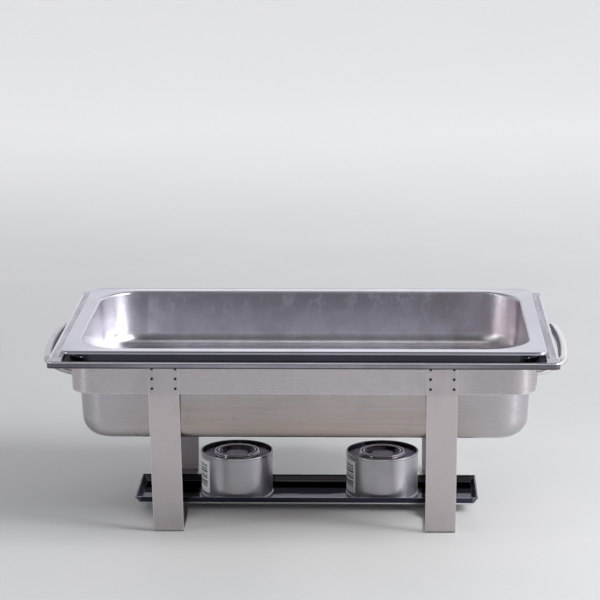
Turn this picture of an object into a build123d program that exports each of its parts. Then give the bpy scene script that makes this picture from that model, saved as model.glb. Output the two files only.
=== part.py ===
"""Full-size chafing dish food warmer: sheet steel stand, water pan,
gastronorm food pan, fuel shelf and two gel fuel cans. Millimetres, +Z up, the
origin on the table under the middle of the stand, +X along the long side."""
import os
from math import hypot

from build123d import *

# ---- heights above the table ------------------------------------------------
FOOD_RIM_TOP = 217.5
WATER_RIM_TOP = 209.7
BAND_BOTTOM = 168.3
WATER_PAN_BOTTOM = 112.3
FOOD_PAN_DEPTH = 65.0
SHELF_BOTTOM = 9.1
SEAT_GAP = 0.1          # between pieces that rest on each other but lift apart
PAN_SHIFT = 0.7         # the pans sit a little to one side in the stand

# ---- food pan (gastronorm 1/1) ----------------------------------------------
FOOD_LENGTH, FOOD_WIDTH = 530.0, 325.0
PAN_SHEET = 0.8
FOOD_FLANGE = 13.6      # flat part of the rim, outside the opening's rolled edge
FOOD_FLANGE_SIDE = 14.8
FOOD_ROLL = 3.0         # radius of the edge between rim and wall
FOOD_LIP = 3.4
FOOD_RIM_CORNER = 12.0
FOOD_WALL_CORNER = 52.0
FOOD_FLOOR_ROLL = 18.0
FOOD_DRAFT = 3.6        # degrees

# ---- water pan --------------------------------------------------------------
WATER_LENGTH, WATER_WIDTH = 555.6, 356.0
WATER_WALL_IN = 26.4    # rim edge to the outside of the wall
WATER_STEP_IN = 20.0    # rim edge to the raised seat for the food pan
WATER_LIP = 7.3
WATER_HEM = 1.7
WATER_RIM_CORNER = 6.0
WATER_WALL_CORNER = 40.0
WATER_STEP_CORNER = 28.0
WATER_FLOOR_ROLL = 22.0
WATER_DRAFT = 3.2       # degrees

# ---- stand ------------------------------------------------------------------
BAND_LENGTH, BAND_WIDTH = 510.0, 311.0
BAND_SHEET = 1.5
BAND_CORNER = 27.0
LEG_SPACING = 303.8     # centre to centre
LEG_WIDTH = 33.8
LEG_SHEET = 2.0
LEG_TOP = 205.0
LEG_BEND_HEIGHT = 165.0
FOOT_SPAN = 242.0       # outside to outside at the table
PLATFORM_HALF = 55.0    # raised middle of the floor strap, which carries the shelf
PLATFORM_RAMP = 13.0
WELD_PITCH = 11.1
WELD_COLUMNS = 25.6
WELD_TOP_ROW = 197.0
WELD_RADIUS = 1.5
WELD_DIMPLE = 0.5

# ---- handles ----------------------------------------------------------------
HANDLE_HALF_SPAN = 106.0
HANDLE_REACH = 39.6     # centre line of the grip, outside the band
HANDLE_ROOT_HEIGHT = 181.6
HANDLE_RISE = 8.8
HANDLE_BOW = 9.5
HANDLE_CORNER = 35.5
HANDLE_SECTION = (11.6, 9.6)
HANDLE_PLATE = (30.0, 24.0, 1.5)

# ---- fuel shelf -------------------------------------------------------------
SHELF_LENGTH, SHELF_WIDTH = 381.0, 86.5
SHELF_SHEET = 0.8
SHELF_FLANGE = 9.0
SHELF_FLARE_END, SHELF_FLARE_SIDE = 6.0, 3.25
SHELF_HEM = 1.6

# ---- fuel cans --------------------------------------------------------------
CAN_SPACING = 168.4
CAN_SHIFT = 2.8         # the cans stand a little to one side on the shelf
CAN_RADIUS = 41.2
CAN_CHIME_RADIUS = 41.9
CAN_HEIGHT = 51.8
CAN_WALL = 0.5
CAN_CHIME = 2.8
CAN_PANEL_DROP = 4.2
NECK_OUTER, NECK_INNER = 25.6, 22.7
NECK_DROP = 1.0         # neck's top below the chime
LABEL_ARC = 54.0
LABEL_SKIN = 0.18

os.makedirs("parts", exist_ok=True)


# ---- helpers ----------------------------------------------------------------
def rounded_block(length, width, corner, low, high):
    """Upright block with rounded vertical edges between two heights."""
    outline = Plane.XY.offset(low) * RectangleRounded(length, width, corner)
    return extrude(outline, amount=high - low)


def drawn_bowl(length, width, corner, top, bottom, draft, floor_roll):
    """Solid of a drawn pan: rounded rectangle tapering down to a rolled floor."""
    outline = Plane.XY.offset(top) * RectangleRounded(length, width, corner)
    bowl = extrude(outline, amount=bottom - top, taper=draft)
    floor_edges = bowl.edges().group_by(Axis.Z)[0]
    return fillet(floor_edges, floor_roll)


def edges_at(shape, height, half_size=None, tolerance=0.05):
    """Edges that lie flat at a height, within a half size in X and Y if one is given."""
    found = []
    for edge in shape.edges():
        box = edge.bounding_box()
        level = abs(box.min.Z - height) < tolerance and abs(box.max.Z - height) < tolerance
        inside = half_size is None or (box.max.X < half_size[0] and box.max.Y < half_size[1])
        if level and inside:
            found.append(edge)
    return found


def save(name, shape):
    """Write one piece to its own file."""
    export_step(shape, f"parts/{name}.step")


# ---- pans -------------------------------------------------------------------
def food_pan():
    """Deep drawn pan with a flat rim, turned down all round at the edge."""
    top = FOOD_RIM_TOP
    wall_length = FOOD_LENGTH - 2 * (FOOD_FLANGE + FOOD_ROLL)
    wall_width = FOOD_WIDTH - 2 * (FOOD_FLANGE_SIDE + FOOD_ROLL)
    floor = top - FOOD_PAN_DEPTH
    within_rim = (FOOD_LENGTH / 2 - 5, FOOD_WIDTH / 2 - 5)
    rim = rounded_block(FOOD_LENGTH, FOOD_WIDTH, FOOD_RIM_CORNER, top - FOOD_LIP, top)
    rim = fillet(edges_at(rim, top), PAN_SHEET * 1.5)
    under_lip = rounded_block(
        FOOD_LENGTH - 2 * PAN_SHEET,
        FOOD_WIDTH - 2 * PAN_SHEET,
        FOOD_RIM_CORNER - PAN_SHEET,
        top - FOOD_LIP,
        top - PAN_SHEET,
    )
    rim = rim - fillet(edges_at(under_lip, top - PAN_SHEET), PAN_SHEET * 0.7)
    body = drawn_bowl(
        wall_length + 2 * PAN_SHEET,
        wall_width + 2 * PAN_SHEET,
        FOOD_WALL_CORNER + PAN_SHEET,
        top - PAN_SHEET,
        floor - PAN_SHEET,
        FOOD_DRAFT,
        FOOD_FLOOR_ROLL + PAN_SHEET,
    )
    pan = rim + body
    under_rim = edges_at(pan, top - PAN_SHEET, within_rim)
    pan = fillet(under_rim, FOOD_ROLL - PAN_SHEET)
    cavity = drawn_bowl(
        wall_length, wall_width, FOOD_WALL_CORNER, top, floor, FOOD_DRAFT, FOOD_FLOOR_ROLL
    )
    pan = pan - cavity
    opening = edges_at(pan, top, within_rim)
    return Pos(PAN_SHIFT, 0, 0) * fillet(opening, FOOD_ROLL)


def water_pan():
    """Drawn water pan: raised seat for the food pan, flat rim and deep rolled lip."""
    seat = FOOD_RIM_TOP - PAN_SHEET - SEAT_GAP
    rim = WATER_RIM_TOP
    wall_length = WATER_LENGTH - 2 * WATER_WALL_IN
    wall_width = WATER_WIDTH - 2 * WATER_WALL_IN
    step_length = WATER_LENGTH - 2 * WATER_STEP_IN
    step_width = WATER_WIDTH - 2 * WATER_STEP_IN
    body = drawn_bowl(
        wall_length,
        wall_width,
        WATER_WALL_CORNER,
        seat,
        WATER_PAN_BOTTOM,
        WATER_DRAFT,
        WATER_FLOOR_ROLL,
    )
    cavity = drawn_bowl(
        wall_length - 2 * PAN_SHEET,
        wall_width - 2 * PAN_SHEET,
        WATER_WALL_CORNER - PAN_SHEET,
        seat,
        WATER_PAN_BOTTOM + PAN_SHEET,
        WATER_DRAFT,
        WATER_FLOOR_ROLL - PAN_SHEET,
    )
    slab = rounded_block(WATER_LENGTH, WATER_WIDTH, WATER_RIM_CORNER, rim - WATER_LIP, rim)
    slab = fillet(edges_at(slab, rim), 2 * PAN_SHEET)
    step = rounded_block(step_length, step_width, WATER_STEP_CORNER, rim - PAN_SHEET, seat)
    step = fillet(edges_at(step, seat), 2 * PAN_SHEET)
    under_slab = rounded_block(
        WATER_LENGTH - 2 * PAN_SHEET,
        WATER_WIDTH - 2 * PAN_SHEET,
        WATER_RIM_CORNER - PAN_SHEET,
        rim - WATER_LIP + WATER_HEM,
        rim - PAN_SHEET,
    )
    under_slab = fillet(edges_at(under_slab, rim - PAN_SHEET), PAN_SHEET)
    hem_gap = rounded_block(
        WATER_LENGTH - 4 * PAN_SHEET,
        WATER_WIDTH - 4 * PAN_SHEET,
        WATER_RIM_CORNER - 2 * PAN_SHEET,
        rim - WATER_LIP,
        rim - WATER_LIP + WATER_HEM,
    )
    under_step = rounded_block(
        step_length - 2 * PAN_SHEET,
        step_width - 2 * PAN_SHEET,
        WATER_STEP_CORNER - PAN_SHEET,
        rim - 2 * PAN_SHEET,
        seat - PAN_SHEET,
    )
    under_step = fillet(edges_at(under_step, seat - PAN_SHEET), PAN_SHEET)
    hollow = (under_slab + hem_gap + under_step) - body
    pan = (slab + step + body) - cavity - hollow
    opening = edges_at(pan, seat, (step_length / 2 - 5, step_width / 2 - 5))
    return Pos(PAN_SHIFT, 0, 0) * fillet(opening, PAN_SHEET * 0.9)


# ---- stand ------------------------------------------------------------------
def band_half(side):
    """Half of the band round the water pan: side is -1 at the front, +1 at the rear."""
    top = FOOD_RIM_TOP - 2 * PAN_SHEET - 2 * SEAT_GAP
    outer = rounded_block(BAND_LENGTH, BAND_WIDTH, BAND_CORNER, BAND_BOTTOM, top)
    inner = rounded_block(
        BAND_LENGTH - 2 * BAND_SHEET,
        BAND_WIDTH - 2 * BAND_SHEET,
        BAND_CORNER - BAND_SHEET,
        BAND_BOTTOM,
        top,
    )
    ring = outer - inner
    ring = fillet(edges_at(ring, BAND_BOTTOM), BAND_SHEET * 0.3)
    keep = Pos(0, side * BAND_WIDTH / 2, 0) * Box(BAND_LENGTH + 10, BAND_WIDTH, 2 * FOOD_RIM_TOP)
    return ring & keep


def leg(side):
    """One bent strip: front upright, floor strap raised in its middle, rear upright."""
    top_y = BAND_WIDTH / 2 + LEG_SHEET / 2
    foot_y = FOOT_SPAN / 2 - LEG_SHEET / 2
    low = LEG_SHEET / 2
    high = SHELF_BOTTOM - SEAT_GAP - LEG_SHEET / 2
    front_half = [
        (-top_y, LEG_TOP),
        (-top_y, LEG_BEND_HEIGHT),
        (-foot_y, low),
        (-PLATFORM_HALF - PLATFORM_RAMP, low),
        (-PLATFORM_HALF, high),
    ]
    rear_half = [(-y, z) for y, z in reversed(front_half)]
    points = [Vector(0, y, z) for y, z in front_half + rear_half]
    radii = [30, 4, 6, 6]
    path = FilletPolyline(*points, radius=radii + radii[::-1])
    section = Plane(points[0], x_dir=(1, 0, 0), z_dir=(0, 0, -1)) * Rectangle(LEG_WIDTH, LEG_SHEET)
    strip = sweep(section, path=path)
    strip = Pos(side * LEG_SPACING / 2, 0, 0) * strip
    for place in weld_places(side, -1) + weld_places(side, 1):
        strip = strip - place * weld_disc(WELD_RADIUS + 0.25, WELD_DIMPLE)
    return strip


def weld_places(side, end):
    """Where one upright is spot welded to the band, on its outer face."""
    face = BAND_WIDTH / 2 + LEG_SHEET
    places = []
    for row in range(3):
        for column in (-0.5, 0.5):
            x = side * LEG_SPACING / 2 + column * WELD_COLUMNS
            z = WELD_TOP_ROW - row * WELD_PITCH
            places.append(Pos(x, end * face, z) * Rot(end * 90, 0, 0))
    return places


def weld_disc(radius, depth):
    """Disc from its mouth on the face to a depth below it, along local +Z."""
    return Cylinder(radius, depth, align=(Align.CENTER, Align.CENTER, Align.MIN))


def weld_mark():
    """Thin dark disc on the bottom of a dimple."""
    return Pos(0, 0, WELD_DIMPLE * 0.4) * weld_disc(WELD_RADIUS, WELD_DIMPLE * 0.6)


def leg_spot_welds():
    """The weld marks: small dark discs at the bottom of their dimples."""
    discs = []
    for side in (-1, 1):
        for end in (-1, 1):
            for place in weld_places(side, end):
                discs.append(place * weld_mark())
    return Compound(children=discs)


def handle(side):
    """Bowed carrying handle of flattened tube, rising away from the band."""
    root_x = BAND_LENGTH / 2 - 4
    reach = HANDLE_REACH + 4
    slope = HANDLE_RISE / HANDLE_REACH
    stations = [
        (0, -HANDLE_HALF_SPAN),
        (reach - HANDLE_BOW, -HANDLE_HALF_SPAN),
        (reach, 0),
        (reach - HANDLE_BOW, HANDLE_HALF_SPAN),
        (0, HANDLE_HALF_SPAN),
    ]
    root_z = HANDLE_ROOT_HEIGHT - 4 * slope
    points = [Vector(root_x + out, y, root_z + out * slope) for out, y in stations]
    path = FilletPolyline(*points, radius=[HANDLE_CORNER, 700, HANDLE_CORNER])
    start = Plane(points[0], x_dir=(0, 1, 0), z_dir=(1, 0, slope))
    section = start * Ellipse(HANDLE_SECTION[0] / 2, HANDLE_SECTION[1] / 2)
    bar = sweep(section, path=path)
    plate_face = BAND_LENGTH / 2 + HANDLE_PLATE[2]
    bar = bar & Pos(plate_face + 100, 0, HANDLE_ROOT_HEIGHT) * Box(200, 400, 200)
    return bar if side > 0 else mirror(bar, about=Plane.YZ)


def handle_plate_centres():
    """Middle of each handle's two end plates, on the band's end faces."""
    return [(side, end * HANDLE_HALF_SPAN) for side in (-1, 1) for end in (-1, 1)]


def handle_end_plates():
    """Small plates that spread the handles' load on the band."""
    width, height, sheet = HANDLE_PLATE
    plates = []
    for side, y in handle_plate_centres():
        plate = Box(sheet, width, height)
        plate = fillet(plate.edges().filter_by(Axis.X), 4)
        x = side * (BAND_LENGTH / 2 + sheet / 2)
        plate = Pos(x, y, HANDLE_ROOT_HEIGHT) * plate
        for place in plate_weld_places(side, y):
            plate = plate - place * weld_disc(WELD_RADIUS + 0.25, WELD_DIMPLE)
        plates.append(plate)
    return Compound(children=plates)


def plate_weld_places(side, y):
    """Two spot welds on one end plate, each side of the bar."""
    face = BAND_LENGTH / 2 + HANDLE_PLATE[2]
    offset = HANDLE_PLATE[0] / 2 - 4.5
    turn = Rot(0, -side * 90, 0)
    return [Pos(side * face, y + step, HANDLE_ROOT_HEIGHT) * turn for step in (-offset, offset)]


def handle_spot_welds():
    """Weld marks on the handles' end plates."""
    discs = []
    for side, y in handle_plate_centres():
        for place in plate_weld_places(side, y):
            discs.append(place * weld_mark())
    return Compound(children=discs)


# ---- fuel shelf -------------------------------------------------------------
def flared_block(end_inset, side_inset, low, high):
    """Block between the shelf's flared faces, drawn in from them, cut at two heights."""
    sections = []
    for height in (low, high):
        out = (height - SHELF_BOTTOM) / SHELF_FLANGE
        length = SHELF_LENGTH + 2 * (out * SHELF_FLARE_END - end_inset)
        width = SHELF_WIDTH + 2 * (out * SHELF_FLARE_SIDE - side_inset)
        sections.append(Plane.XY.offset(height) * Rectangle(length, width))
    return loft(sections)


def fuel_shelf():
    """Shallow tray with flared, hemmed flanges, laid across the floor straps."""
    top = SHELF_BOTTOM + SHELF_FLANGE
    floor = SHELF_BOTTOM + SHELF_SHEET
    end_wall = SHELF_SHEET * hypot(1, SHELF_FLARE_END / SHELF_FLANGE)
    side_wall = SHELF_SHEET * hypot(1, SHELF_FLARE_SIDE / SHELF_FLANGE)
    outer = flared_block(0, 0, SHELF_BOTTOM, top)
    outer = fillet(outer.edges().group_by(Axis.Z)[0], 1.4)
    inner = flared_block(end_wall, side_wall, floor, top)
    inner = fillet(inner.edges().group_by(Axis.Z)[0], 0.6)
    length = SHELF_LENGTH + 2 * SHELF_FLARE_END
    width = SHELF_WIDTH + 2 * SHELF_FLARE_SIDE
    hem = rounded_block(length, width, 1.5, top - SHELF_HEM, top)
    hem_void = rounded_block(length - 2 * SHELF_HEM, width - 2 * SHELF_HEM, 0.5, top - SHELF_HEM, top)
    return (outer - inner) + (hem - hem_void)


# ---- fuel cans --------------------------------------------------------------
def can_base_height():
    """Height of the can's bottom seam above the table."""
    return SHELF_BOTTOM + SHELF_SHEET + SEAT_GAP


def spun(points, rounds=0.0):
    """Solid of revolution from (radius, height) points, all corners eased a little."""
    outline = Polyline(*[(r, z) for r, z in points], close=True)
    face = make_face(outline)
    if rounds:
        face = fillet(face.vertices(), rounds)
    return revolve(Plane.XZ * face, axis=Axis.Z)


def can_wall():
    """Rolled side wall between the two seams."""
    low = can_base_height() + CAN_CHIME
    high = can_base_height() + CAN_HEIGHT - CAN_CHIME
    inner = CAN_RADIUS - CAN_WALL
    return spun([(inner, low), (CAN_RADIUS, low), (CAN_RADIUS, high), (inner, high)])


def can_bottom():
    """Bottom end: seam ring with the panel raised inside it."""
    low = can_base_height()
    seam = low + CAN_CHIME
    panel = low + 1.6
    ring_in = CAN_CHIME_RADIUS - 2.2
    ring = spun([(ring_in, low), (CAN_CHIME_RADIUS, low), (CAN_CHIME_RADIUS, seam), (ring_in, seam)], 0.5)
    disc = Pos(0, 0, panel + 0.3) * Cylinder(ring_in + 0.6, 0.6)
    return ring + disc


def can_top():
    """Top end: rolled chime, sunk panel and the raised neck round the mouth."""
    high = can_base_height() + CAN_HEIGHT
    seam = high - CAN_CHIME
    panel = high - CAN_PANEL_DROP
    neck_top = high - NECK_DROP
    ring_in = CAN_CHIME_RADIUS - 2.0
    ring = spun([(ring_in, seam), (CAN_CHIME_RADIUS, seam), (CAN_CHIME_RADIUS, high), (ring_in, high)], 0.8)
    sink = spun([(ring_in, panel), (ring_in + 0.6, panel), (ring_in + 0.6, seam + 1), (ring_in, seam + 1)])
    disc_top = panel + 0.6
    disc_edge = ring_in + 0.6
    disc = spun([(NECK_INNER, panel), (disc_edge, panel), (disc_edge, disc_top), (NECK_INNER, disc_top)])
    neck = spun(
        [(NECK_INNER, panel), (NECK_OUTER, panel), (NECK_OUTER, neck_top), (NECK_INNER, neck_top)]
    )
    neck = fillet(neck.edges().group_by(Axis.Z)[-1], 0.9)
    return ring + sink + disc + neck


def can_lid():
    """Press-in lid: flange on the neck, sloping wall, sunk panel with a raised centre."""
    rest = can_base_height() + CAN_HEIGHT - NECK_DROP + SEAT_GAP
    skin = 0.6
    wall = NECK_INNER - 0.6
    outline = [
        (0, rest - 3.0),
        (12.5, rest - 3.0),
        (13.6, rest - 4.2),
        (17.6, rest - 4.2),
        (wall - 1.6, rest - 0.6),
        (wall - 0.6, rest),
        (NECK_OUTER - 0.4, rest),
        (NECK_OUTER - 0.4, rest + skin),
        (wall - 0.9, rest + skin),
        (wall - 2.3, rest - 0.2),
        (17.3, rest - 4.2 + skin),
        (13.9, rest - 4.2 + skin),
        (12.8, rest - 3.0 + skin),
        (0, rest - 3.0 + skin),
    ]
    return spun(outline)


def can_fuel():
    """Gel fuel filling the can to below the mouth."""
    low = can_base_height() + 1.6 + 0.6
    high = can_base_height() + CAN_HEIGHT - 9
    radius = CAN_RADIUS - CAN_WALL - 1.5
    return Pos(0, 0, (low + high) / 2) * Cylinder(radius, high - low)


def can_label(turn):
    """Blank paper label on the wall: turn is its middle's angle from the front."""
    low = can_base_height() + 7
    high = can_base_height() + CAN_HEIGHT - 7
    skin = Rectangle(LABEL_SKIN, high - low, align=(Align.MIN, Align.MIN))
    profile = Plane.XZ * Pos(CAN_RADIUS, low) * skin
    strip = revolve(profile, axis=Axis.Z, revolution_arc=LABEL_ARC)
    middle = -90 - turn
    return Rot(0, 0, middle - LABEL_ARC / 2) * strip


def fuel_can(name, x, label_turn):
    """Write one can's pieces, standing on the shelf."""
    pieces = {
        "wall": can_wall(),
        "bottom": can_bottom(),
        "top": can_top(),
        "lid": can_lid(),
        "fuel": can_fuel(),
        "label": can_label(label_turn),
    }
    for piece, shape in pieces.items():
        save(f"can_{piece}_{name}", Pos(x, 0, 0) * shape)


# ---- write every piece ------------------------------------------------------
save("food_pan", food_pan())
save("water_pan", water_pan())
save("band_front", band_half(-1))
save("band_rear", band_half(1))
save("leg_left", leg(-1))
save("leg_right", leg(1))
save("leg_spot_welds", leg_spot_welds())
save("handle_left", handle(-1))
save("handle_right", handle(1))
save("handle_end_plates", handle_end_plates())
save("handle_spot_welds", handle_spot_welds())
save("fuel_shelf", fuel_shelf())
fuel_can("left", CAN_SHIFT - CAN_SPACING / 2, 74)
fuel_can("right", CAN_SHIFT + CAN_SPACING / 2, 76)
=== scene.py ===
"""Looks for the chafing dish: every piece is the CAD model's own, with a detailed
procedural material. Metres, +Z up, the table at z = 0, -Y the front.

A material's masks follow places on the piece, in object coordinates, so its stains and its
painted highlights and shade stay on it when the joints move. A place is a pair of numbers: the two
ends of a soft change along X, Y or Z, or the middle and half width of a line.

Stains, heat tint and scratches are the surface's own. Other tones stand in for highlights
and shade that the photo shows at that place: they are part of the colour, so they stay
there from every side and in every light."""
from math import radians

import bpy
from mathutils import Matrix, Vector

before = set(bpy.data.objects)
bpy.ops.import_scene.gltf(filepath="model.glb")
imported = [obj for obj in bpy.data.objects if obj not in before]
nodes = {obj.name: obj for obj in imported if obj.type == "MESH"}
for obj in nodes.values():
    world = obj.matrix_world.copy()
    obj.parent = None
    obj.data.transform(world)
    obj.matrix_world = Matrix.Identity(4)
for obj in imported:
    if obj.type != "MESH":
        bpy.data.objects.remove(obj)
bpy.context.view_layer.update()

# ---- camera -----------------------------------------------------------------
CAMERA_PLACE = (0.0826, -2.8293, 0.8692)
CAMERA_REACH = 50.0      # clipped beyond this
CAMERA_TURN = 1.824      # degrees to the left
CAMERA_DOWN = 12.545     # degrees below level
CAMERA_ROLL = -0.279     # degrees
LENS = 152.0             # mm
SENSOR = 36.0            # mm

# ---- studio -----------------------------------------------------------------
FLOOR_SIZE = 14.0
BACKDROP = (0.4, 3.0)    # Y where the table top starts to glow and where it glows most
BACKDROP_GLOW = 0.42
ROOM_TINT = (0.93, 0.94, 1.0, 1.0)
ROOM_SHADES = (
    # part of the direction, its two ends, brightness at each
    ("Y", -0.5, 0.35, 0.26, 1.08),       # dim in front, bright behind
    ("X", -1.0, 1.0, 0.75, 1.15),        # lighter to the right
    ("Z", 0.35, 0.80, 1.0, 0.28),        # dim overhead
)
SOFT_BOXES = (
    # name, place, aimed at, size, watts
    ("key", (2.3, -0.8, 1.8), (0, 0, 0.15), (1.6, 1.6), 78),
    ("fill", (-2.2, -1.8, 2.4), (0, 0, 0.10), (1.6, 1.6), 9),
    ("strip", (0.0, -0.42, 2.6), (0, 0, 0.1), (2.4, 0.22), 3.5),
    ("left_panel", (-2.3, -1.3, 0.75), (0, 0, 0.15), (0.35, 1.3), 9),
    ("right_panel", (2.5, -1.0, 0.75), (0, 0, 0.15), (0.45, 1.3), 14),
)

# ---- node helpers -----------------------------------------------------------
def rgb(r, g, b):
    return (r, g, b, 1.0)


def smooth_step(tree_nodes, low, high, out_low, out_high):
    """Map Range node: out_low below low, out_high above high, smooth between them."""
    node = tree_nodes.new("ShaderNodeMapRange")
    node.interpolation_type = "SMOOTHSTEP"
    node.inputs["From Min"].default_value = low
    node.inputs["From Max"].default_value = high
    node.inputs["To Min"].default_value = out_low
    node.inputs["To Max"].default_value = out_high
    return node


class Tree:
    """Small builder for a material's node tree."""

    def __init__(self, name):
        self.material = bpy.data.materials.new(name)
        self.material.use_nodes = True
        self.nodes = self.material.node_tree.nodes
        self.links = self.material.node_tree.links
        self.nodes.clear()
        self.shader = self.nodes.new("ShaderNodeBsdfPrincipled")
        out = self.nodes.new("ShaderNodeOutputMaterial")
        self.links.new(self.shader.outputs["BSDF"], out.inputs["Surface"])
        source = self.nodes.new("ShaderNodeTexCoord")
        self.coords = source.outputs["Object"]
        self.facing = source.outputs["Normal"]

    def put(self, socket, value):
        """Link an output to an input, or set the input to a constant."""
        if isinstance(value, bpy.types.NodeSocket):
            self.links.new(value, socket)
        else:
            socket.default_value = value

    def mapped(self, scale, turn=(0, 0, 0), offset=(0, 0, 0)):
        """Object coordinates scaled, turned (degrees) and moved."""
        node = self.nodes.new("ShaderNodeMapping")
        node.inputs["Scale"].default_value = scale
        node.inputs["Rotation"].default_value = [radians(a) for a in turn]
        node.inputs["Location"].default_value = offset
        self.links.new(self.coords, node.inputs["Vector"])
        return node.outputs["Vector"]

    def noise(self, scale, detail, rough=0.5, turn=(0, 0, 0), offset=(0, 0, 0)):
        """Soft noise, stretched by its scale along each axis."""
        node = self.nodes.new("ShaderNodeTexNoise")
        node.inputs["Scale"].default_value = 1.0
        node.inputs["Detail"].default_value = detail
        node.inputs["Roughness"].default_value = rough
        self.links.new(self.mapped(scale, turn, offset), node.inputs["Vector"])
        return node.outputs["Fac"]

    def voronoi(self, scale):
        """Distance to the nearest of many scattered points."""
        node = self.nodes.new("ShaderNodeTexVoronoi")
        node.inputs["Scale"].default_value = 1.0
        self.links.new(self.mapped(scale), node.inputs["Vector"])
        return node.outputs["Distance"]

    def ramp(self, value, low, high, out_low=0.0, out_high=1.0):
        """Value turned into out_low below low and out_high above high, smooth between them."""
        node = smooth_step(self.nodes, low, high, out_low, out_high)
        self.put(node.inputs["Value"], value)
        return node.outputs["Result"]

    def math(self, kind, a, b=0.0):
        node = self.nodes.new("ShaderNodeMath")
        node.operation = kind
        self.put(node.inputs[0], a)
        self.put(node.inputs[1], b)
        return node.outputs[0]

    def mix(self, fac, a, b):
        """First colour where the mask is zero, second where it is one."""
        node = self.nodes.new("ShaderNodeMix")
        node.data_type = "RGBA"
        self.put(node.inputs["Factor"], fac)
        self.put(node.inputs["A"], a)
        self.put(node.inputs["B"], b)
        return node.outputs["Result"]

    def scaled(self, colour, value):
        """Colour multiplied by a value."""
        node = self.nodes.new("ShaderNodeVectorMath")
        node.operation = "SCALE"
        self.put(node.inputs[0], colour if isinstance(colour, bpy.types.NodeSocket) else colour[:3])
        self.put(node.inputs["Scale"], value)
        return node.outputs[0]

    def times(self, first, *others):
        """Product of two or more values."""
        total = first
        for value in others:
            total = self.math("MULTIPLY", total, value)
        return total

    def either(self, a, b):
        """Larger of two masks."""
        return self.math("MAXIMUM", a, b)

    def falls(self, value, low, high):
        """One below low, zero above high."""
        return self.ramp(value, low, high, 1.0, 0.0)

    def away(self, value, middle=0.0):
        """How far a value is from a middle value, either way."""
        return self.math("ABSOLUTE", self.math("SUBTRACT", value, middle))

    def band(self, value, middle, half):
        """One inside a narrow band of a value, zero outside."""
        return self.falls(self.away(value, middle), half * 0.6, half)

    def axis(self, letter, vector=None):
        """One part of a vector, the object coordinates if none is given."""
        node = self.nodes.new("ShaderNodeSeparateXYZ")
        self.links.new(vector or self.coords, node.inputs[0])
        return node.outputs[letter]

    def length(self, x, y):
        """Length of a flat vector."""
        return self.math("SQRT", self.math("ADD", self.times(x, x), self.times(y, y)))

    def bump(self, height, strength, distance, below=None):
        """Normal of a relief, on top of the one below it."""
        node = self.nodes.new("ShaderNodeBump")
        node.inputs["Strength"].default_value = strength
        node.inputs["Distance"].default_value = distance
        self.put(node.inputs["Height"], height)
        if below is not None:
            self.links.new(below, node.inputs["Normal"])
        return node.outputs["Normal"]


# ---- steel ------------------------------------------------------------------
GRAIN_STRENGTH = 0.03
GRAIN_DEPTH = 0.00003
GRAIN_TO_ROUGHNESS = 1.3             # how much of the grain's depth shows in the roughness
DENT_DEPTH = 0.004
SMUDGE = 0.05
SPOT_STRENGTH = 0.10
MARK_ROUGHNESS = 0.05


def steel(name, tone, rough, grain, look, depth=0.06, scratches=1.0, wobble=0.06):
    """Sheet steel: faint brushed grain, uneven polish, smudges, hairline scratches, water spots.

    The look adds what is special to one piece and scales the roughness."""
    t = Tree(name)
    fine = t.noise(grain, 3.0, 0.55)
    broad = t.noise((7, 7, 7), 2.0, 0.5)
    prints = t.noise((30, 30, 30), 5.0, 0.6, offset=(3, 1, 2))
    specks = t.voronoi((55, 55, 55))
    spots = t.times(t.falls(specks, 0.02, 0.10), t.ramp(prints, 0.5, 0.62))
    scratch = t.noise([g * 0.2 for g in grain], 1.0, 0.4, (7, 11, 19))
    line = t.ramp(t.away(scratch, 0.5), 0.0, 0.006, scratches, 0.0)
    light = t.times(
        t.ramp(fine, 0.25, 0.75, 1.0 - depth * 0.5, 1.0 + depth * 0.5),
        t.ramp(broad, 0.3, 0.7, 1.0 - depth, 1.0 + depth),
        t.ramp(prints, 0.5, 0.75, 1.0, 1.0 - SMUDGE),
    )
    colour, polish = look(t, rgb(*tone))
    colour = t.scaled(colour, light)
    colour = t.mix(t.times(spots, SPOT_STRENGTH), colour, rgb(0.8, 0.8, 0.8))
    t.put(t.shader.inputs["Base Color"], colour)
    t.shader.inputs["Metallic"].default_value = 1.0
    spread = GRAIN_TO_ROUGHNESS * depth
    base = t.times(t.ramp(fine, 0.25, 0.75, rough * (1 - spread), rough * (1 + spread)), polish)
    marks = t.times(t.math("ADD", spots, line), MARK_ROUGHNESS)
    dulled = t.math("ADD", t.times(t.ramp(prints, 0.5, 0.75), SMUDGE), marks)
    t.put(t.shader.inputs["Roughness"], t.math("ADD", base, dulled))
    dents = t.bump(t.noise((4, 4, 4), 1.0, 0.4, offset=(1, 7, 3)), wobble, DENT_DEPTH)
    t.put(t.shader.inputs["Normal"], t.bump(fine, GRAIN_STRENGTH, GRAIN_DEPTH, dents))
    return t.material


# ---- food pan ---------------------------------------------------------------
FOOD_BOWL = (0.2135, 0.2165)         # height where the bowl gives way to the rim
FOOD_SHADE = (0.1650, 0.2130)        # height over which the bowl's painted reflection darkens
FOOD_COOKED_X, FOOD_COOKED_Y = (0.10, 0.22), (0.03, 0.12)
FOOD_PAINTED_DARK_X, FOOD_PAINTED_DARK_Z = (-0.205, -0.150), (0.156, 0.172)
FOOD_REAR_Y, FOOD_REAR_Z = (0.10, 0.13), (0.175, 0.205)
FOOD_LEFT_X, FOOD_LEFT_Z = (-0.250, -0.190), (0.158, 0.176)
FOOD_RIGHT_STARTS, FOOD_RIGHT_STOPS = (0.165, 0.200), (0.202, 0.232)
FOOD_OUTER_WIDE = (0.1540, 0.1545)   # outer part of the rim, from the middle along Y
FOOD_OUTER_LONG = (0.2560, 0.2565)   # and along X
FOOD_TOP = (0.2172, 0.2174)          # height of the rim's flat top
FOOD_UNDERSIDE = (0.2143, 0.2147)    # height of the lip's bottom
FOOD_FLAT_STARTS, FOOD_FLAT_STOPS = (0.146, 0.148), (0.157, 0.160)
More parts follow.
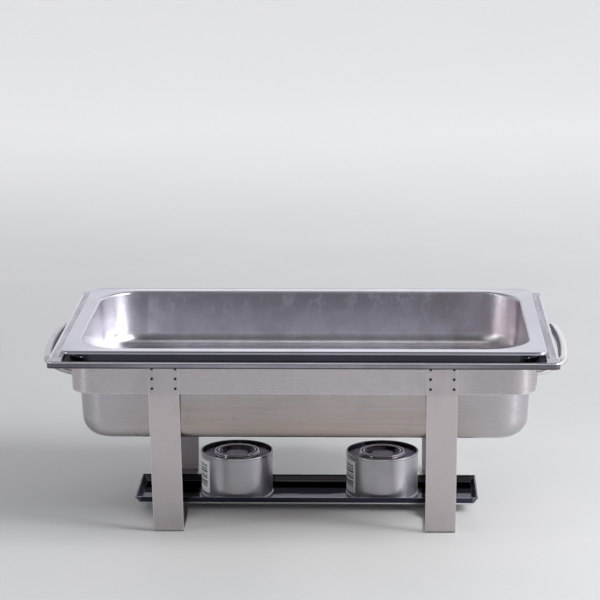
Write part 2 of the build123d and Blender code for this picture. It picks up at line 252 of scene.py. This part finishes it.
FOOD_FLAT_FADES = (0.200, 0.252)     # the flat's painted highlight fades towards the ends
FOOD_TURNED_WIDE, FOOD_TURNED_Z = (0.1585, 0.1610), (0.2166, 0.2169)


def food_look(t, colour):
    """Food pan: pale lavender rim with a painted dark reflection on its turned edge, stains inside,
    cooked-on tint.
    """
    height, across, along = t.axis("Z"), t.axis("Y"), t.axis("X")
    wide, long = t.away(across), t.away(along)

    # bowl: painted reflection that darkens towards the rim, mottled stains, cooked on at the rear
    # right
    bowl = t.falls(height, *FOOD_BOWL)
    shade = t.ramp(height, *FOOD_SHADE, 1.22, 0.71)
    change = t.times(t.math("SUBTRACT", shade, 1.0), bowl)
    colour = t.scaled(colour, t.math("ADD", change, 1.0))
    mottle = t.noise((26, 26, 26), 6.0, 0.68, offset=(5, 2, 9))
    patches = t.times(bowl, t.ramp(mottle, 0.38, 0.66, 0.0, 0.38))
    colour = t.mix(patches, colour, rgb(0.40, 0.39, 0.43))
    corner = t.times(t.ramp(along, *FOOD_COOKED_X), t.ramp(across, *FOOD_COOKED_Y))
    cooked = t.times(corner, t.ramp(mottle, 0.36, 0.6, 0.1, 0.75), bowl)
    colour = t.mix(cooked, colour, rgb(0.46, 0.37, 0.36))

    # painted darker reflection over the floor at the left, water stains along the top of the rear
    # wall
    painted_dark = t.times(t.ramp(along, *FOOD_PAINTED_DARK_X, 0.75, 0.0), t.falls(height, *FOOD_PAINTED_DARK_Z))
    colour = t.mix(painted_dark, colour, rgb(0.30, 0.295, 0.32))
    stain = t.noise((55, 55, 30), 6.0, 0.75, offset=(2, 4, 6))
    rear = t.times(t.ramp(across, *FOOD_REAR_Y), t.ramp(height, *FOOD_REAR_Z))
    marked = t.times(rear, t.ramp(stain, 0.48, 0.62, 0.0, 0.55))
    colour = t.mix(marked, colour, rgb(0.74, 0.72, 0.76))

    # brighter tone on the rounded ends, in place of their highlights
    left = t.times(bowl, t.ramp(along, *FOOD_LEFT_X, 0.34, 0.0), t.ramp(height, *FOOD_LEFT_Z))
    stretch = t.times(t.ramp(along, *FOOD_RIGHT_STARTS), t.ramp(along, *FOOD_RIGHT_STOPS, 0.40, 0.0))
    right = t.times(bowl, stretch)
    colour = t.mix(t.either(left, right), colour, rgb(0.93, 0.91, 0.96))

    # rim: outer part in painted shade, painted shade under it, painted highlight on the flat along
    # the sides, painted dark reflection on the turned edge
    outer = t.either(t.ramp(wide, *FOOD_OUTER_WIDE), t.ramp(long, *FOOD_OUTER_LONG))
    top = t.ramp(height, *FOOD_TOP)
    lip = t.times(outer, t.math("SUBTRACT", 1.0, top))
    colour = t.mix(lip, colour, rgb(0.54, 0.53, 0.60))
    under = t.times(outer, t.falls(height, *FOOD_UNDERSIDE))
    colour = t.mix(under, colour, rgb(0.015, 0.015, 0.02))
    flat = t.times(t.ramp(wide, *FOOD_FLAT_STARTS), t.falls(wide, *FOOD_FLAT_STOPS))
    bright = t.times(top, flat, t.falls(long, *FOOD_FLAT_FADES))
    colour = t.mix(bright, colour, rgb(0.80, 0.79, 0.84))
    turned = t.times(t.ramp(wide, *FOOD_TURNED_WIDE), t.ramp(height, *FOOD_TURNED_Z))
    return t.mix(turned, colour, rgb(0.20, 0.195, 0.23)), 1.0


# ---- water pan --------------------------------------------------------------
PAN_SHIFT = 0.0007                   # the pans' middle, to the right of the stand's
WATER_WARM_X, WATER_WARM_Z = (0.13, 0.24), (0.125, 0.185)
WATER_RIM = (0.2012, 0.2018)         # height just below the lip
WATER_RIM_DARKENS = (0.12, 0.26)     # where the rim's painted reflection darkens towards the ends, along X
WATER_TOP = (0.2094, 0.2096)         # height of the rim's flat top at the ends
WATER_SIDE_TOP = (0.2088, 0.2094)    # and along the sides
STEP_FOOT = (0.2100, 0.2104)         # height of the foot of the raised step
SEAT_TOP = (0.2152, 0.2158)          # height of the seat on top of the step
STEP_WIDE = (0.1572, 0.1576)         # outside of the step, from the middle along Y
STEP_LONG = (0.2580, 0.2590)         # and along X
STEP_CORNER_WIDE, STEP_CORNER_LONG = (0.126, 0.134), (0.232, 0.242)
DARK_LINE_STOPS = (0.2672, 0.2680)   # along X: painted shadow line between the step and the streaky flat
OUTER_EDGE = (0.2745, 0.2755)        # along X: painted highlight on the outer edge
FOLD_LINE = (0.2086, 0.0006)         # lines round the lip: height and half width
SHADE_LINE = (0.2075, 0.0006)
HEM_LINE = (0.2027, 0.0013)


def water_look(t, colour):
    """Water pan: glossy rim with painted dark reflections and painted light and dark lines, satin
    body with a painted warm reflection at its foot.
    """
    height, across, along = t.axis("Z"), t.axis("Y"), t.axis("X")
    wide, long, out = t.away(across), t.away(along), t.away(along, PAN_SHIFT)

    # satin body, with a painted warm reflection at its foot
    streak = t.noise((5, 5, 300), 3.0, 0.6, offset=(2, 8, 1))
    warm = t.times(t.ramp(height, *WATER_WARM_Z, 1.0, 0.35), t.falls(long, *WATER_WARM_X))
    warm = t.times(warm, t.ramp(streak, 0.35, 0.65, 0.6, 1.0))
    colour = t.mix(warm, colour, rgb(0.42, 0.355, 0.32))

    # rim: painted dark reflections, darker towards its ends, and painted shade on the raised step
    rim = t.ramp(height, *WATER_RIM)
    sheen = t.noise((16, 9, 9), 3.0, 0.5, offset=(4, 4, 4))
    painted_rim_reflections = t.mix(t.ramp(sheen, 0.4, 0.62), rgb(0.27, 0.268, 0.31), rgb(0.36, 0.355, 0.40))
    ends = t.times(t.ramp(long, *WATER_RIM_DARKENS), t.ramp(sheen, 0.35, 0.55, 0.4, 1.0))
    painted_rim_reflections = t.mix(t.times(ends, 0.8), painted_rim_reflections, rgb(0.10, 0.095, 0.115))
    step = t.times(t.ramp(height, *STEP_FOOT), t.falls(height, *SEAT_TOP))
    painted_rim_reflections = t.mix(step, painted_rim_reflections, rgb(0.20, 0.195, 0.26))

    # flat at the two ends: streaky tone with painted reflection, between a painted shadow line at
    # the step and a painted highlight on the outer edge
    flat_streaks = t.noise((60, 9, 60), 4.0, 0.6, offset=(1, 6, 3))
    streaks_and_painted_reflection = t.mix(t.ramp(flat_streaks, 0.4, 0.6), rgb(0.20, 0.18, 0.21), rgb(0.38, 0.36, 0.40))
    end_flat = t.times(t.ramp(height, *WATER_TOP), t.ramp(out, *STEP_LONG))
    painted_rim_reflections = t.mix(end_flat, painted_rim_reflections, streaks_and_painted_reflection)
    dark_line = t.times(end_flat, t.falls(out, *DARK_LINE_STOPS))
    painted_rim_reflections = t.mix(dark_line, painted_rim_reflections, rgb(0.05, 0.05, 0.07))
    outer_edge = t.times(end_flat, t.ramp(out, *OUTER_EDGE))
    painted_rim_reflections = t.mix(outer_edge, painted_rim_reflections, rgb(0.62, 0.60, 0.66))

    # seat under the food pan, and painted reflection on the rim's flat top along the two sides
    painted_rim_reflections = t.mix(t.ramp(height, *SEAT_TOP), painted_rim_reflections, rgb(0.46, 0.45, 0.48))
    side_flat = t.times(t.ramp(wide, *STEP_WIDE), t.ramp(height, *WATER_SIDE_TOP))
    painted_rim_reflections = t.mix(side_flat, painted_rim_reflections, rgb(0.31, 0.305, 0.355))

    # lip: painted highlight on the upper fold, painted shade lines below it and near the hem,
    # painted shade on the rounded step corners
    fold = t.band(height, *FOLD_LINE)
    shaded = t.times(t.band(height, *SHADE_LINE), 0.5)
    painted_rim_reflections = t.mix(shaded, painted_rim_reflections, rgb(0.10, 0.10, 0.13))
    painted_rim_reflections = t.mix(fold, painted_rim_reflections, rgb(0.95, 0.94, 0.97))
    round_part = t.times(t.ramp(out, *STEP_CORNER_LONG), t.ramp(wide, *STEP_CORNER_WIDE))
    corner = t.times(step, round_part)
    painted_rim_reflections = t.mix(corner, painted_rim_reflections, rgb(0.012, 0.012, 0.015))
    hem = t.times(t.band(height, *HEM_LINE), 0.9)
    painted_rim_reflections = t.mix(hem, painted_rim_reflections, rgb(0.06, 0.055, 0.07))
    duller = t.times(t.math("ADD", fold, corner), 1.6)
    return t.mix(rim, colour, painted_rim_reflections), t.math("ADD", t.ramp(rim, 0.0, 1.0, 1.0, 0.4), duller)


# ---- fuel shelf -------------------------------------------------------------
SHELF_MIRROR = (0.38, 0.38, 0.39)    # holds back the mirror's glare at low angles
SHELF_FLOOR = (0.0100, 0.0104)       # height just above the floor
SHELF_LIGHT_FRONT = (-0.008, -0.001)             # Y where the floor's painted light reflection at the front ends
SHELF_REAR_Y, SHELF_REAR_Z = (0.040, 0.043), (0.0118, 0.0126)
SHELF_END = (0.1900, 0.1906)         # turned-up ends, from the middle along X
SHELF_EDGE_WIDE, SHELF_EDGE_LONG = (0.0430, 0.0432), (0.1903, 0.1905)
SHELF_HEM_LINE = (0.0180, 0.0003)    # height and half width
SHELF_FOLD = (0.0108, 0.0114)        # height of the bottom fold


def shelf_look(t, colour):
    """Fuel shelf: painted dark reflections for a mirror finish, brown heat tint, painted highlights
    on the hem and fold.
    """
    height, across, along = t.axis("Z"), t.axis("Y"), t.axis("X")
    wide, long = t.away(across), t.away(along)
    t.shader.inputs["Specular Tint"].default_value = rgb(*SHELF_MIRROR)
    heat = t.noise((14, 40, 40), 4.0, 0.6, offset=(6, 3, 2))
    colour = t.mix(t.ramp(heat, 0.40, 0.65), colour, rgb(0.17, 0.135, 0.12))

    # floor: painted reflection, dark at the rear, lighter at the front, uneven between; rear edge
    # brown inside
    reflection_edge = t.math("ADD", across, t.ramp(heat, 0.3, 0.7, -0.004, 0.004))
    floor = t.mix(t.ramp(reflection_edge, *SHELF_LIGHT_FRONT), rgb(0.24, 0.24, 0.255), rgb(0.035, 0.034, 0.036))
    colour = t.mix(t.falls(height, *SHELF_FLOOR), colour, floor)
    rear = t.times(t.ramp(height, *SHELF_REAR_Z), t.ramp(across, *SHELF_REAR_Y))
    colour = t.mix(rear, colour, rgb(0.36, 0.29, 0.23))

    # turned-up edge: painted navy reflection, a little lighter and duller at the ends, painted
    # highlights on the hem and the bottom fold
    ends = t.ramp(long, *SHELF_END)
    colour = t.mix(ends, colour, rgb(0.62, 0.62, 0.68))
    edge = t.either(t.ramp(wide, *SHELF_EDGE_WIDE), t.ramp(long, *SHELF_EDGE_LONG))
    colour = t.mix(t.times(edge, 0.8), colour, rgb(0.040, 0.045, 0.075))
    colour = t.mix(t.band(height, *SHELF_HEM_LINE), colour, rgb(0.40, 0.40, 0.45))
    fold = t.times(edge, t.falls(height, *SHELF_FOLD))
    return t.mix(fold, colour, rgb(0.92, 0.91, 0.95)), t.ramp(ends, 0.0, 1.0, 1.0, 3.2)


# ---- fuel cans --------------------------------------------------------------
CAN_SHIFT = 0.0028                   # middle of the pair of cans, to the right of the stand's
CAN_FROM_MIDDLE = 0.0842
CAN_DARKENS = (0.020, 0.060)         # height over which painted shade darkens the wall
CAN_END = (0.050, 0.052)             # height where the ends' painted highlight rings start
CAN_MIDDLE = (0.004, 0.0130)         # radius
CAN_CHIME = (0.0400, 0.0408)         # radius
NECK_LINE = (0.0254, 0.0009)         # radius and half width
LID_LINE = (0.0212, 0.0008)
END_MIRROR = (0.45, 0.44, 0.47)      # holds back the ends' glare at low angles


def can_look(t, colour):
    """Can wall and bottom: faint rolled rings, and painted shade that makes it a little darker
    towards the top.
    """
    rings = t.noise((2, 2, 120), 2.0, 0.5)
    high = t.ramp(t.axis("Z"), *CAN_DARKENS, 0.0, 0.35)
    shade = t.math("ADD", high, t.ramp(rings, 0.4, 0.6, 0.0, 0.06))
    return t.mix(shade, colour, rgb(0.30, 0.30, 0.33)), 1.0


def end_look(t, colour):
    """Can end and lid: dark mottled panel, lighter middle, painted highlights on chime, neck and
    lid.
    """
    t.shader.inputs["Specular Tint"].default_value = rgb(*END_MIRROR)
    off = t.math("SUBTRACT", t.away(t.axis("X"), CAN_SHIFT), CAN_FROM_MIDDLE)
    radius = t.length(off, t.axis("Y"))
    # dark mottled tone of the panel
    panel_mottle = t.noise((60, 60, 60), 5.0, 0.6)
    dark = t.mix(t.ramp(panel_mottle, 0.35, 0.65), rgb(0.05, 0.047, 0.055), rgb(0.15, 0.14, 0.15))
    dark = t.mix(t.ramp(radius, *CAN_MIDDLE, 0.10, 0.02), dark, colour)
    chime = t.times(t.ramp(radius, *CAN_CHIME), 0.45)
    neck = t.band(radius, *NECK_LINE)
    lid = t.times(t.band(radius, *LID_LINE), 0.5)
    rings = t.times(t.either(t.either(chime, neck), lid), t.ramp(t.axis("Z"), *CAN_END))
    return t.mix(rings, dark, rgb(0.97, 0.96, 1.0)), 1.0


# ---- stand ------------------------------------------------------------------
BAND_DARKENS = (0.165, 0.195)        # X over which painted shade darkens the right end
BAND_EDGE = (0.1688, 0.1693)         # height of the bottom edge
LEG_FROM_MIDDLE = 0.1519
LEG_DARKENS = (0.0, 0.15)            # height over which painted shade darkens towards the foot
LEG_EDGE = (0.0158, 0.0166)          # from the strip's centre line
HANDLE_SIDES = (-0.1, 0.1)           # X, from the left handle to the right one
HANDLE_GRIP = (0.276, 0.284)         # from the middle along X
HANDLE_INWARD = (-0.50, -0.15)       # how far the surface faces outwards


def band_look(t, colour):
    """Band: painted shade a little darker towards its right end, painted highlight on its bottom
    edge.
    """
    painted_dark = t.ramp(t.axis("X"), *BAND_DARKENS, 0.0, 0.45)
    colour = t.mix(painted_dark, colour, rgb(0.40, 0.37, 0.385))
    edge = t.times(t.falls(t.axis("Z"), *BAND_EDGE), 0.6)
    return t.mix(edge, colour, rgb(0.80, 0.77, 0.78)), 1.0


def leg_look(t, colour):
    """Leg strip: painted highlights on its edges, painted shade a little darker towards the foot."""
    low = t.ramp(t.axis("Z"), *LEG_DARKENS, 0.45, 0.0)
    colour = t.mix(low, colour, rgb(0.44, 0.41, 0.42))
    from_centre = t.away(t.away(t.axis("X")), LEG_FROM_MIDDLE)
    edge = t.times(t.ramp(from_centre, *LEG_EDGE), 0.5)
    return t.mix(edge, colour, rgb(0.82, 0.79, 0.80)), 1.0


def handle_look(t, colour):
    """Handle: painted dark reflection on the inner face towards the pans, bright outside, painted
    shade on the left one.
    """
    along = t.axis("X")
    colour = t.mix(t.ramp(along, *HANDLE_SIDES, 0.65, 0.0), colour, rgb(0.36, 0.34, 0.36))
    outward = t.times(t.axis("X", t.facing), t.math("SIGN", along))
    grip = t.ramp(t.away(along), *HANDLE_GRIP)
    dark = t.times(t.falls(outward, *HANDLE_INWARD), grip)
    return t.mix(dark, colour, rgb(0.09, 0.085, 0.10)), 1.0


# ---- welds, gel fuel and labels ---------------------------------------------
def weld_mark():
    """Heat-darkened spot weld: near black, mottled with brown, matt and rough."""
    t = Tree("weld_oxide")
    mottle = t.noise((900, 900, 900), 4.0)
    colour = t.mix(t.ramp(mottle, 0.35, 0.65), rgb(0.012, 0.011, 0.013), rgb(0.06, 0.045, 0.04))
    t.put(t.shader.inputs["Base Color"], colour)
    t.shader.inputs["Metallic"].default_value = 0.4
    t.put(t.shader.inputs["Roughness"], t.ramp(mottle, 0.3, 0.7, 0.5, 0.8))
    t.put(t.shader.inputs["Normal"], t.bump(mottle, 0.5, 0.0002))
    return t.material


def gel():
    """Pinkish alcohol gel, glossy, with bubbles."""
    t = Tree("gel_fuel")
    bubbles = t.voronoi((420, 420, 420))
    colour = t.mix(t.ramp(bubbles, 0.1, 0.5), rgb(0.75, 0.6, 0.68), rgb(0.55, 0.38, 0.5))
    t.put(t.shader.inputs["Base Color"], colour)
    t.shader.inputs["Transmission Weight"].default_value = 0.3
    t.put(t.shader.inputs["Roughness"], t.ramp(bubbles, 0.0, 0.4, 0.35, 0.15))
    t.put(t.shader.inputs["Normal"], t.bump(bubbles, 0.3, 0.0006))
    return t.material


LABEL_FOOT, LABEL_HEAD = (0.0225, 0.0229), (0.0501, 0.0505)      # heights that the rules lie between
LABEL_SIDE = (0.0245, 0.0249)        # ends of the rules, from the middle along Y


def paper():
    """White coated paper label with plain dark rules of mixed width, soft fibres and dirt."""
    t = Tree("paper_label")
    fibre = t.noise((600, 600, 250), 5.0, 0.6)
    dirt = t.noise((70, 70, 70), 4.0, 0.6)
    height = t.axis("Z")
    bars = t.noise((0.01, 0.01, 420), 1.0, 0.5)
    inked = t.falls(bars, 0.49, 0.51)
    inner = t.falls(t.away(t.axis("Y")), *LABEL_SIDE)
    span = t.times(t.ramp(height, *LABEL_FOOT), t.falls(height, *LABEL_HEAD), inner)
    base = t.mix(t.ramp(fibre, 0.3, 0.7), rgb(0.93, 0.94, 0.97), rgb(0.99, 0.99, 1.0))
    base = t.mix(t.ramp(dirt, 0.55, 0.75, 0.0, 0.2), base, rgb(0.55, 0.53, 0.50))
    colour = t.mix(t.times(inked, span, 0.95), base, rgb(0.03, 0.03, 0.05))
    t.put(t.shader.inputs["Base Color"], colour)
    t.put(t.shader.inputs["Roughness"], t.ramp(fibre, 0.3, 0.7, 0.4, 0.6))
    t.put(t.shader.inputs["Normal"], t.bump(fibre, 0.2, 0.00004))
    return t.material


# ---- which piece wears what -------------------------------------------------
# grain: how fast the noise changes along X, Y and Z
ALONG_X = (14, 900, 900)
ALONG_Z = (900, 900, 14)
ACROSS = (400, 14, 400)
EVEN = (260, 260, 260)
STREAKS = (20, 20, 500)
FINE_STREAKS = (20, 20, 700)
CAN_GRAIN = (300, 300, 60)
finishes = {
    "food_pan": steel("food_pan_steel", (0.61, 0.60, 0.645), 0.30, EVEN, food_look, scratches=0.0),
    "water_pan": steel("water_pan_steel", (0.485, 0.465, 0.495), 0.24, STREAKS, water_look),
    "band": steel(
        "band_steel", (0.57, 0.525, 0.545), 0.27, FINE_STREAKS, band_look,
        depth=0.02, scratches=0.0, wobble=0.0,
    ),
    "leg": steel("leg_steel", (0.60, 0.55, 0.565), 0.32, ALONG_Z, leg_look, depth=0.04, wobble=0.02),
    "handle": steel("handle_steel", (0.74, 0.72, 0.73), 0.24, ACROSS, handle_look),
    # the shelf's near-black base tone is a painted dark reflection
    "shelf": steel("shelf_steel", (0.055, 0.060, 0.088), 0.08, ALONG_X, shelf_look, wobble=0.1),
    "can": steel(
        "can_tinplate", (0.53, 0.52, 0.56), 0.34, CAN_GRAIN, can_look,
        depth=0.02, scratches=0.0, wobble=0.02,
    ),
    "can_end": steel("can_end_tinplate", (0.66, 0.64, 0.66), 0.22, EVEN, end_look, scratches=0.0),
    "weld": weld_mark(),
    "gel": gel(),
    "paper": paper(),
}
wearers = {
    "food_pan": ["food_pan"],
    "water_pan": ["water_pan"],
    "band": ["band_front", "band_rear", "handle_end_plates"],
    "leg": ["leg_left", "leg_right"],
    "handle": ["handle_left", "handle_right"],
    "shelf": ["fuel_shelf"],
    "can": ["can_wall_left", "can_wall_right", "can_bottom_left", "can_bottom_right"],
    "can_end": ["can_top_left", "can_top_right", "can_lid_left", "can_lid_right"],
    "weld": ["leg_spot_welds", "handle_spot_welds"],
    "gel": ["can_fuel_left", "can_fuel_right"],
    "paper": ["can_label_left", "can_label_right"],
}
for finish, names in wearers.items():
    for name in names:
        mesh = nodes[name].data
        mesh.materials.clear()
        mesh.materials.append(finishes[finish])

# ---- floor, room, lights and camera -----------------------------------------
scene = bpy.context.scene


def floor():
    """Pale matt table top that glows more and more behind the dish, as a plain backdrop."""
    bpy.ops.mesh.primitive_plane_add(size=FLOOR_SIZE, location=(0, 0, 0))
    top = bpy.context.object
    top.name = "floor"
    t = Tree("pale_floor")
    cloud = t.noise((3, 3, 3), 3.0)
    colour = t.mix(t.ramp(cloud, 0.3, 0.7), rgb(0.70, 0.71, 0.705), rgb(0.74, 0.74, 0.74))
    t.put(t.shader.inputs["Base Color"], colour)
    t.shader.inputs["Roughness"].default_value = 0.5
    t.shader.inputs["Specular IOR Level"].default_value = 0.25
    t.put(t.shader.inputs["Emission Color"], rgb(1.0, 1.0, 1.0))
    t.put(t.shader.inputs["Emission Strength"], t.ramp(t.axis("Y"), *BACKDROP, 0.0, BACKDROP_GLOW))
    top.data.materials.append(t.material)


def soft_box(name, place, target, size, power):
    """White rectangular light aimed at a point."""
    lamp = bpy.data.lights.new(name, "AREA")
    lamp.shape = "RECTANGLE"
    lamp.size, lamp.size_y = size
    lamp.energy = power
    holder = bpy.data.objects.new(name, lamp)
    holder.location = place
    holder.rotation_euler = (Vector(target) - Vector(place)).to_track_quat("-Z", "Y").to_euler()
    holder.visible_camera = False
    scene.collection.objects.link(holder)


def room():
    """Plain soft surroundings, brightness set by the three parts of the direction."""
    world = bpy.data.worlds.new("studio")
    scene.world = world
    world.use_nodes = True
    tree = world.node_tree
    tree.nodes.clear()
    out = tree.nodes.new("ShaderNodeOutputWorld")
    back = tree.nodes.new("ShaderNodeBackground")
    coords = tree.nodes.new("ShaderNodeTexCoord")
    split = tree.nodes.new("ShaderNodeSeparateXYZ")
    tree.links.new(coords.outputs["Generated"], split.inputs[0])
    back.inputs["Color"].default_value = ROOM_TINT
    wanting = back.inputs["Strength"]
    for axis, low, high, level_low, level_high in ROOM_SHADES:
        step = smooth_step(tree.nodes, low, high, level_low, level_high)
        tree.links.new(split.outputs[axis], step.inputs["Value"])
        product = tree.nodes.new("ShaderNodeMath")
        product.operation = "MULTIPLY"
        product.inputs[1].default_value = 1.0
        tree.links.new(step.outputs["Result"], product.inputs[0])
        tree.links.new(product.outputs[0], wanting)
        wanting = product.inputs[1]
    tree.links.new(back.outputs[0], out.inputs[0])


floor()
room()
for box in SOFT_BOXES:
    soft_box(*box)

camera_data = bpy.data.cameras.new("camera")
camera_data.lens = LENS
camera_data.sensor_width = SENSOR
camera_data.clip_end = CAMERA_REACH
camera = bpy.data.objects.new("camera", camera_data)
camera.matrix_world = (
    Matrix.Translation(CAMERA_PLACE)
    @ Matrix.Rotation(radians(CAMERA_TURN), 4, "Z")
    @ Matrix.Rotation(radians(90 - CAMERA_DOWN), 4, "X")
    @ Matrix.Rotation(radians(CAMERA_ROLL), 4, "Z")
)
scene.collection.objects.link(camera)
scene.camera = camera
scene.view_settings.view_transform = "Standard"
